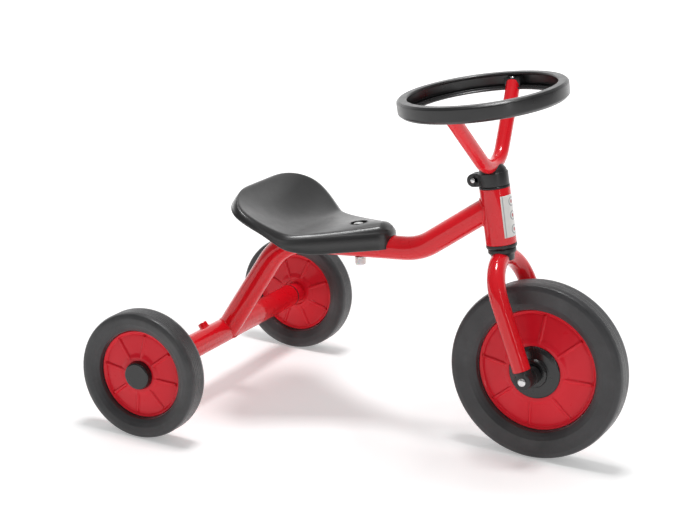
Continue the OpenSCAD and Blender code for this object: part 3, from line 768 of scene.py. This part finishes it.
seat_raw = scratch("seat_raw", seat_shell())
cutters = [
    ("UNION", scratch("boss", shaft(12.5, 10, 24.2, 0.3), SEAT_BOLT)),
    ("DIFFERENCE", scratch("hollow", shaft(10, 21.5, 60, 0.3), SEAT_BOLT)),
    ("DIFFERENCE", scratch("tube_room", tube(main_path, MAIN_R + 0.25, Y_SIDE, 48))),
]
for operation, cutter in cutters:
    step = seat_raw.modifiers.new(operation, "BOOLEAN")
    step.operation, step.solver, step.object = operation, "EXACT", cutter
seat_final = evaluated(seat_raw)
for leftover in [seat_raw] + [c for _, c in cutters]:
    bpy.data.objects.remove(leftover)
clean(seat_final)
finish_piece("seat_moulding", seat_final, "frame", SEAT_BLACK, ["seat_shell"], 32)

RECESS_RIM_R = 10.3
rim_points = []
for a in np.linspace(0, 2 * pi, 72, endpoint=False):
    p = np.array(SEAT_BOLT @ Vector((RECESS_RIM_R * cos(a), RECESS_RIM_R * sin(a), 24)))
    s = SEAT_X0 - p[0]
    p[2] = seat_point(s, p[1] / seat_half_w(s))[2] - 0.25
    rim_points.append(p)
rim_points = np.array(rim_points)
outward = unit(rim_points - rim_points.mean(0))
build("seat_recess_rim", [tube(rim_points, 0.7, outward, 12, closed=True)], "frame",
      SEAT_BLACK)

build("seat_bolt_and_head",
      [dome(6.5, 3.5, 22.7, 0.9), shaft(2.95, -21.4, 22.8)],
      "frame", ZINC, ["seat_bolt"], SEAT_BOLT)
build("seat_nut_cover",
      [lathe(rounded([(0, -23.1, 0), (4.6, -23.1, 1.4), (6, -21.6, 1.6), (6, -14.9, 0.5),
                      (5.1, -14.9, 0.3), (5.1, -21.4, 0.6), (0, -21.9, 0)], closed=False), 56,
             closed=False)],
      "frame", PALE_CAP, ["seat_nut_cap"], SEAT_BOLT)
build("seat_nut_hex", [hexagon(5.0, -19.7, -14.7)], "frame", ZINC, ["seat_nut"],
      SEAT_BOLT)


# ------------------------------------------------------------------ steering
arch = [(0, ARCH_R * cos(a), ARCH_R * (sin(a) - 1)) for a in np.linspace(0, pi, 61)]
foot = -FORK_LEN + LEG_GAP
leg = [(0, ARCH_R, z) for z in np.linspace(foot, -ARCH_R, 14)[:-1]]
fork_path = np.array(leg + arch + [(x, -y, z) for x, y, z in reversed(leg)])
build("fork_painted", [tube(fork_path, FORK_R, (1, 0, 0), 56, wall=2.0)], "steering", RED,
      ["fork_tube"], FORK)

steerer_outline = rounded([
    (11, CROWN_Z + 6, 0.2), (11, CLAMP_Z1 - 1.2, 0.5), (9.1, CLAMP_Z1 - 1.2, 0.3),
    (9.1, CROWN_Z + 8, 0.2),
])
build("steerer_painted", [lathe(steerer_outline, 72)], "steering", RED,
      ["steerer_tube"], STEER)

crown_outline = rounded([
    (11, CROWN_Z - 3, 0), (12.2, CROWN_Z - 3, 0.8), (13.2, CROWN_Z + 3.5, 3.0),
    (15.6, CROWN_Z + 6.4, 1.2), (15.6, CROWN_Z + 10.4, 0.7), (11, CROWN_Z + 10.4, 0.3),
])
build("crown_cover", [lathe(crown_outline, 96)], "steering", TRIM_BLACK,
      ["crown_cap"], STEER)

bar_rise = (BAR_END_Z - BAR_APEX_Z) * tan(ARM_ANGLE)
bar_corners = [(BAR_X, -bar_rise, BAR_END_Z), (BAR_X, 0, BAR_APEX_Z), (BAR_X, bar_rise, BAR_END_Z)]
bar_path = bent(bar_corners, BAR_BEND)
build("handlebar_painted", [tube(bar_path, BAR_R, (1, 0, 0), 48, wall=1.6)], "steering", RED,
      ["handlebar_bar"], HANDLE)

clamp_outline = rounded([
    (11.05, CLAMP_Z0, 0.3), (16.6, CLAMP_Z0, 0.8), (16.6, CLAMP_Z1, 1.2),
    (15.6, CLAMP_Z1 + 0.3, 0.5), (14.4, CLAMP_Z1 + 4, 3), (11.2, CLAMP_Z1 + 7.6, 3),
    (6, CLAMP_Z1 + 10.2, 3), (0, CLAMP_Z1 + 10.8, 0), (0, CLAMP_Z1 - 1, 0), (11.05, CLAMP_Z1 - 1, 0.2),
])
lug_mid = (CLAMP_Z0 + CLAMP_Z1) / 2
lug_r = (CLAMP_Z1 - CLAMP_Z0) / 2
lug_outline = rounded([(2.1, -7.4, 0.3), (lug_r, -7.4, 1.2), (lug_r, -1.0, 0.4), (2.1, -1.0, 0.3)])
lug_at = move(-LUG_X, 0, lug_mid) @ turn_x(pi / 2)
lug = moved(lathe(lug_outline, 56), lug_at)
web = box((-LUG_X, -10), (1.0, 7.4), (CLAMP_Z0, CLAMP_Z1), 1.0)
build("stem_clamp_moulding",
      [lathe(clamp_outline, 96, closed=False), lug, mirrored(lug), web, mirrored(web)],
      "steering", TRIM_BLACK, ["stem_clamp"], STEER)
build("clamp_screw_head",
      [dome(2.6, 1.4, 7.5), shaft(2.0, -12.5, 7.6)],
      "steering", ZINC, ["clamp_screw"], STEER @ lug_at)
build("clamp_nut_hex", [hexagon(4.0, -11.5, -7.5)], "steering", ZINC,
      ["clamp_nut"], STEER @ lug_at)

half = RING_H / 2
lip_top, lip_low = RING_R - 12, RING_R - 18
ring_outline = rounded([
    (RING_R, -half + 3.6, 3.0), (RING_R, half - 2.4, 2.0), (RING_R - 2.6, half, 2.0),
    (lip_top + 1.5, half, 1.2), (lip_top, half - 1.5, 1.1), (lip_top + 1.5, half - 3, 1.1),
    (RING_R - 5.0, half - 3.1, 1.4), (RING_R - 3.4, half - 4.6, 1.2),
    (RING_R - 3.4, -half + 4.6, 1.2), (RING_R - 5.0, -half + 3.0, 1.4),
    (lip_low + 1.4, -half + 2.7, 1.1), (lip_low, -half + 1.5, 1.1), (lip_low + 1.5, -half, 1.2),
    (RING_R - 4.0, -half, 3.0),
])
ring_parts = [lathe(ring_outline, 192)]
bead_outline = rounded([
    (lip_low + 5.2, -half + 2.2, 0), (lip_low + 5.6, -half + 4.0, 0.7),
    (lip_low + 7.0, -half + 4.0, 0.7), (lip_low + 7.4, -half + 2.2, 0),
])
ring_parts.append(lathe(bead_outline, 192))
for side in (-1, 1):
    low_y, high_y = sorted((side * (RING_R - 14.2), side * (RING_R - 2.6)))
    ring_parts.append(box((-9.5, 9.5), (low_y, high_y), (-half + 1, 3.2), 1.2, 4))
build("steering_wheel", ring_parts, "steering", RING_BLACK, ["steering_ring"],
      RING_AT)
screw = [dome(3.0, 1.7, 3.2), shaft(1.5, -5.8, 3.3)]
build("ring_screw_heads",
      [moved(p, move(0, side * (RING_R - 10.8), 0)) for p in screw for side in (-1, 1)],
      "steering", ZINC, ["ring_screws"], RING_AT)


def fork_foot():
    """A moulded foot: a round eye for the axle below a collar round the leg."""
    w = CAP_W / 2
    eye = lathe(rounded([(4.05, -w, 0.3), (9.9, -w, 1.6), (9.9, w, 1.6), (4.05, w, 0.3)]), 72)
    eye = moved(eye, turn_x(pi / 2))
    neck = lathe(rounded([(0, -2, 0), (9.2, -2, 1.0), (9.95, 4, 2), (9.95, LEG_GAP, 0.6),
                          (7.9, LEG_GAP, 0.2), (7.9, LEG_GAP + 12, 0.5), (0, LEG_GAP + 12, 0)],
                         closed=False), 72, closed=False)
    return [eye, neck]


feet = [moved(p, move(0, side * ARCH_R, -FORK_LEN)) for p in fork_foot() for side in (-1, 1)]
build("fork_feet", feet, "steering", TRIM_BLACK, ["fork_end_caps"], FORK)
axle_end = ARCH_R + CAP_W / 2
build("axle_bolt_and_head",
      [dome(4.5, 2.2, axle_end, 0.8), shaft(3.95, -axle_end, axle_end + 0.1)],
      "steering", ZINC, ["front_axle_bolt"], FRONT_AXLE)
build("axle_cap_nut", [dome(5.0, 2.4, axle_end, 0.8)], "steering", ZINC,
      ["front_axle_nut"], FRONT_AXLE @ turn_x(pi))


# -------------------------------------------------------------------- wheels
def tyre_outline(r_out, r_in, w, shoulder):
    """Whole section: bead, swelling sidewall, rounded shoulder and tread lines."""
    h = w / 2
    side = [(r_in + 0.2, h - 8.2, 0.4), (r_in + 0.9, h - 5.2, 1.2), (r_in + 4.5, h - 2.7, 3.0),
            (r_in + 9.0, h - 0.9, 3.0), (r_out - shoulder - 2.0, h - 0.1, 2.0),
            (r_out - shoulder, h, shoulder * 0.5), (r_out - shoulder * 0.2, h - shoulder * 0.2, 5),
            (r_out, h - shoulder, shoulder * 0.45)]
    grooves = []
    z = h - shoulder - 0.6
    while z > GROOVE_STEP / 2:
        grooves += [(r_out, z, 0.15), (r_out - GROOVE_DEPTH, z - 0.4, 0.1), (r_out, z - 0.8, 0.15)]
        z -= GROOVE_STEP
    upper = side + grooves
    return rounded(upper + [(r, -z, f) for r, z, f in reversed(upper)], steps=6)


def tyre(name, body, at, node, r_out, r_in, w, shoulder):
    build(name, [lathe(tyre_outline(r_out, r_in, w, shoulder), 192)], body, RUBBER,
          [node], at, sharp=50)


def ramp01(x, low, high):
    return smooth01((x - low) / (high - low))


def disc(name, body, at, node, r_out, lip_z, ring_r, ring_z, hub, phase):
    """A moulded wheel disc: a coned web with raised ribs, a rim lip and a hub.

    hub is (bore radius, hub radius, inner end, outer end) along the axle.
    """
    bore, hub_r, hub_in, hub_out = hub
    lip_r = r_out - 3.6
    web_lip, web_ring = lip_z - 1.7, ring_z - 2.2

    def web(r):
        return web_ring + (web_lip - web_ring) * np.clip((r - ring_r) / (lip_r - ring_r), 0, 1)

    radii = np.concatenate([np.linspace(ring_r - 6, ring_r + 4, 12),
                            np.linspace(ring_r + 4, lip_r - 2, 16)[1:]])
    inner = [(bore, hub_out, 0.3), (hub_r, hub_out, 0.6), (hub_r, web_ring, 0.8)]
    rows = [*rounded(inner + [(radii[0], web_ring, 0)], closed=False, steps=4)]
    rows += [np.array([r, web(r)]) for r in radii[1:]]
    lip = [(lip_r - 1.4, web(lip_r), 0), (lip_r - 0.6, web_lip, 0.6), (lip_r + 0.9, lip_z - 0.3, 1.4),
           (lip_r + 1.9, lip_z, 0.8), (r_out - 1.1, lip_z, 1.0), (r_out, lip_z - 1.6, 1.0),
           (r_out, 0, 0)]
    rows += [*rounded(lip, closed=False, steps=4)]
    rows = np.array(rows)
    lower = rows[::-1].copy()
    lower[:, 1] *= -1
    near_hub = lower[:, 0] <= hub_r + 0.01
    lower[near_hub, 1] = np.where(
        np.abs(lower[near_hub, 1] + hub_out) < 0.8, hub_in, lower[near_hub, 1])
    outline = np.vstack([rows, lower[1:]])
    span = 2 * pi / RIBS

    def height(r, z, angles):
        if not radii[0] < r < lip_r or abs(abs(z) - web(r)) > 0.05:
            return np.full(len(angles), z)
        from_rib = np.abs((angles - phase + span / 2) % span - span / 2) * r
        rise = RIB_H * (1 - ramp01(from_rib, RIB_W / 2 - 0.5, RIB_W / 2 + 0.9))
        swell = 1.5 * (1 - ramp01(r, ring_r - 3, ring_r + 3.5))
        return z + np.sign(z) * np.maximum(rise, swell)

    build(name, [lathe(outline, 480, height=height)], body, RED_PLASTIC, [node],
          at, sharp=45)


def hub_cover(r, z0):
    """A dished cover with a rounded step and a raised boss in its middle."""
    return lathe(rounded([
        (15.2, z0 - 0.05, 0), (r, z0 - 0.05, 0.2), (r, z0 + 1.6, 1.2), (r - 1.2, z0 + 2.7, 1.2),
        (r - 5, z0 + 3.6, 3), (18.2, z0 + 4.4, 1.5), (16.6, z0 + 4.4, 0.8), (15.6, z0 + 6.8, 1.3),
        (14.0, z0 + 7.8, 1.2), (9.0, z0 + 7.9, 0.8), (7.6, z0 + 7.5, 0.4), (7.6, z0 + 1, 0.3),
        (15.2, z0 + 1, 0.2),
    ]), 120)


tyre("front_tyre_rubber", "front_wheel", FRONT_AXLE, "front_tyre",
     FRONT_R, FRONT_RIM_R, FRONT_TYRE_W, shoulder=7)
disc("front_disc", "front_wheel", FRONT_AXLE, "front_rim", FRONT_RIM_R, lip_z=6.2,
     ring_r=35, ring_z=14.2, hub=(11, 15, -14, 14), phase=radians(86))
cover = hub_cover(29.7, 13.0)
build("front_hub_cover_pair", [cover, (cover[0] * [1, 1, -1], cover[1])], "front_wheel",
      HUB_BLACK, ["front_hub_covers"], FRONT_AXLE)
spacer = lathe(rounded([
    (4.1, 22.6, 0.2), (10.8, 22.6, 0.8), (10.8, 33.9, 0.6), (4.1, 33.9, 0.2)]), 64)
sleeve = lathe(rounded([(4.1, -33.9, 0.1), (5.95, -33.9, 0.1), (5.95, 33.9, 0.1), (4.1, 33.9, 0.1)]), 48)
build("axle_sleeve_and_spacers", [spacer, (spacer[0] * [1, 1, -1], spacer[1]), sleeve],
      "steering", TRIM_BLACK, ["front_axle_spacers"], FRONT_AXLE)

for label, side, phase in (("left", 1, 20), ("right", -1, 85)):
    body, at = f"rear_wheel_{label}", rear_axle(side)
    tyre(f"rear_tyre_{label}_rubber", body, at, f"rear_tyre_{label}",
         REAR_R, REAR_RIM_R, REAR_TYRE_W, shoulder=6)
    disc(f"rear_disc_{label}", body, at, f"rear_rim_{label}", REAR_RIM_R, lip_z=5.0,
         ring_r=21.5, ring_z=8.6, hub=(8, 12, -22, 2.0), phase=radians(phase))
    cap = rounded([
        (11.7, 2.2, 0.2), (13.8, 2.2, 0.4), (13.8, 7.2, 0.2), (16.3, 7.4, 0.4),
        (16.1, 10.5, 1.5), (14.9, 14.2, 1.4), (13.4, 14.8, 0.8), (0, 14.5, 0), (0, 12.6, 0),
        (11.7, 12.4, 0.8),
    ])
    build(f"hub_cap_{label}_gloss", [lathe(cap, 96, closed=False)], body, HUB_BLACK,
          [f"hub_cap_{label}"], at)

# Small CAD nodes that keep their own mesh and only get a material.
for name, material in (
    ("seat_washers", ZINC), ("rear_axle_rod", ZINC), ("axle_push_nuts", ZINC),
    ("handlebar_stem", RED), ("front_wheel_bushes", NYLON),
    ("wheel_bushes_left", NYLON), ("wheel_bushes_right", NYLON),
):
    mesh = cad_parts[name].data
    mesh.materials.clear()
    mesh.materials.append(material)
    mesh.shade_smooth()
    mesh.set_sharp_from_angle(angle=radians(35))


# --------------------------------------------------------- floor and lighting
FLOOR = Shader("pale_floor")
tint = FLOOR.ramp(FLOOR.noise(3, 3), 0.3, 0.7, 0, 1)
FLOOR.color(FLOOR.mix(tint, (0.90, 0.90, 0.90), (0.895, 0.892, 0.89)))
FLOOR.bsdf.inputs["Roughness"].default_value = 0.75
FLOOR.bsdf.inputs["Specular IOR Level"].default_value = 0.1
FLOOR.bsdf.inputs["Emission Color"].default_value = (1, 1, 1, 1)
away = FLOOR.add("VectorMath", operation="LENGTH")
FLOOR.link(FLOOR.place, away.inputs[0])
FLOOR.link(FLOOR.ramp(away.outputs["Value"], 0.5, 2.6, 0.32, 0.85),
           FLOOR.bsdf.inputs["Emission Strength"])
FLOOR_HALF = 30
corners = [(-1, -1), (1, -1), (1, 1), (-1, 1)]
floor_mesh = bpy.data.meshes.new("floor")
floor_mesh.from_pydata([(x * FLOOR_HALF, y * FLOOR_HALF, 0) for x, y in corners], [], [[0, 1, 2, 3]])
floor_mesh.materials.append(FLOOR.material)
floor = bpy.data.objects.new("floor", floor_mesh)
bpy.context.scene.collection.objects.link(floor)

# A white backdrop behind the tricycle and a dim room in front of it.
world = bpy.data.worlds.new("studio")
world.use_nodes = True
sky = world.node_tree


def sky_node(kind, **settings):
    node = sky.nodes.new("ShaderNode" + kind)
    for key, value in settings.items():
        setattr(node, key, value)
    return node


def sky_ramp(value, *limits):
    node = sky_node("MapRange", interpolation_type="SMOOTHSTEP")
    sky.links.new(value, node.inputs["Value"])
    for key, limit in zip(("From Min", "From Max", "To Min", "To Max"), limits):
        node.inputs[key].default_value = limit
    return node.outputs["Result"]


ray = sky_node("TexCoord").outputs["Generated"]
split = sky_node("SeparateXYZ")
sky.links.new(ray, split.inputs[0])
behind = sky_node("VectorMath", operation="DOT_PRODUCT")
sky.links.new(ray, behind.inputs[0])
AWAY_FROM_CAMERA = (-0.43, 0.90, 0)
behind.inputs[1].default_value = AWAY_FROM_CAMERA
backdrop = sky_node("Math", operation="MULTIPLY")
sky.links.new(sky_ramp(behind.outputs["Value"], 0.1, 0.75, 0.0, 0.95), backdrop.inputs[0])
sky.links.new(sky_ramp(split.outputs["Z"], 0.30, 0.55, 1.0, 0.2), backdrop.inputs[1])
room = sky_node("Math", operation="ADD")
sky.links.new(backdrop.outputs[0], room.inputs[0])
sky.links.new(sky_ramp(split.outputs["Z"], 0.05, 0.8, 0.12, 0.30), room.inputs[1])
sky.links.new(room.outputs[0], sky.nodes["Background"].inputs["Strength"])
sky.nodes["Background"].inputs["Color"].default_value = (1, 1, 1, 1)
bpy.context.scene.world = world


def softbox(name, place, aim, size, watts):
    light = bpy.data.lights.new(name, "AREA")
    light.shape, light.size, light.size_y, light.energy = "RECTANGLE", size[0], size[1], watts
    lamp = bpy.data.objects.new(name, light)
    lamp.location = place
    lamp.rotation_mode = "QUATERNION"
    lamp.rotation_quaternion = (Vector(aim) - Vector(place)).to_track_quat("-Z", "Y")
    bpy.context.scene.collection.objects.link(lamp)


CENTRE = (0, 0, 0.15)
softbox("overhead", (0.02, -0.04, 2.9), CENTRE, (0.7, 0.7), 44)
softbox("front_strip", (1.9, -1.25, 1.0), CENTRE, (0.09, 1.6), 3.5)
softbox("back_left", (-0.9, 1.5, 2.2), CENTRE, (0.6, 0.6), 3)

# The camera stands at the photograph's angle, with a slight roll.
camera_data = bpy.data.cameras.new("camera")
camera_data.lens, camera_data.sensor_width = 97.24, 36
camera_data.clip_start, camera_data.clip_end = 0.05, 100
camera = bpy.data.objects.new("camera", camera_data)
azimuth, elevation, roll = radians(25.67), radians(16.52), radians(2.61)
camera_place = (0.83319, -1.85014, 0.78708)
back = Vector((sin(azimuth) * cos(elevation), -cos(azimuth) * cos(elevation), sin(elevation)))
right = Vector((cos(azimuth), sin(azimuth), 0))
up = back.cross(right)
tilted_right = right * cos(roll) + up * sin(roll)
tilted_up = up * cos(roll) - right * sin(roll)
facing = Matrix((tilted_right, tilted_up, back)).transposed().to_4x4()
camera.matrix_world = Matrix.Translation(camera_place) @ facing
bpy.context.scene.collection.objects.link(camera)
bpy.context.scene.camera = camera
bpy.context.scene.view_settings.view_transform = "Standard"
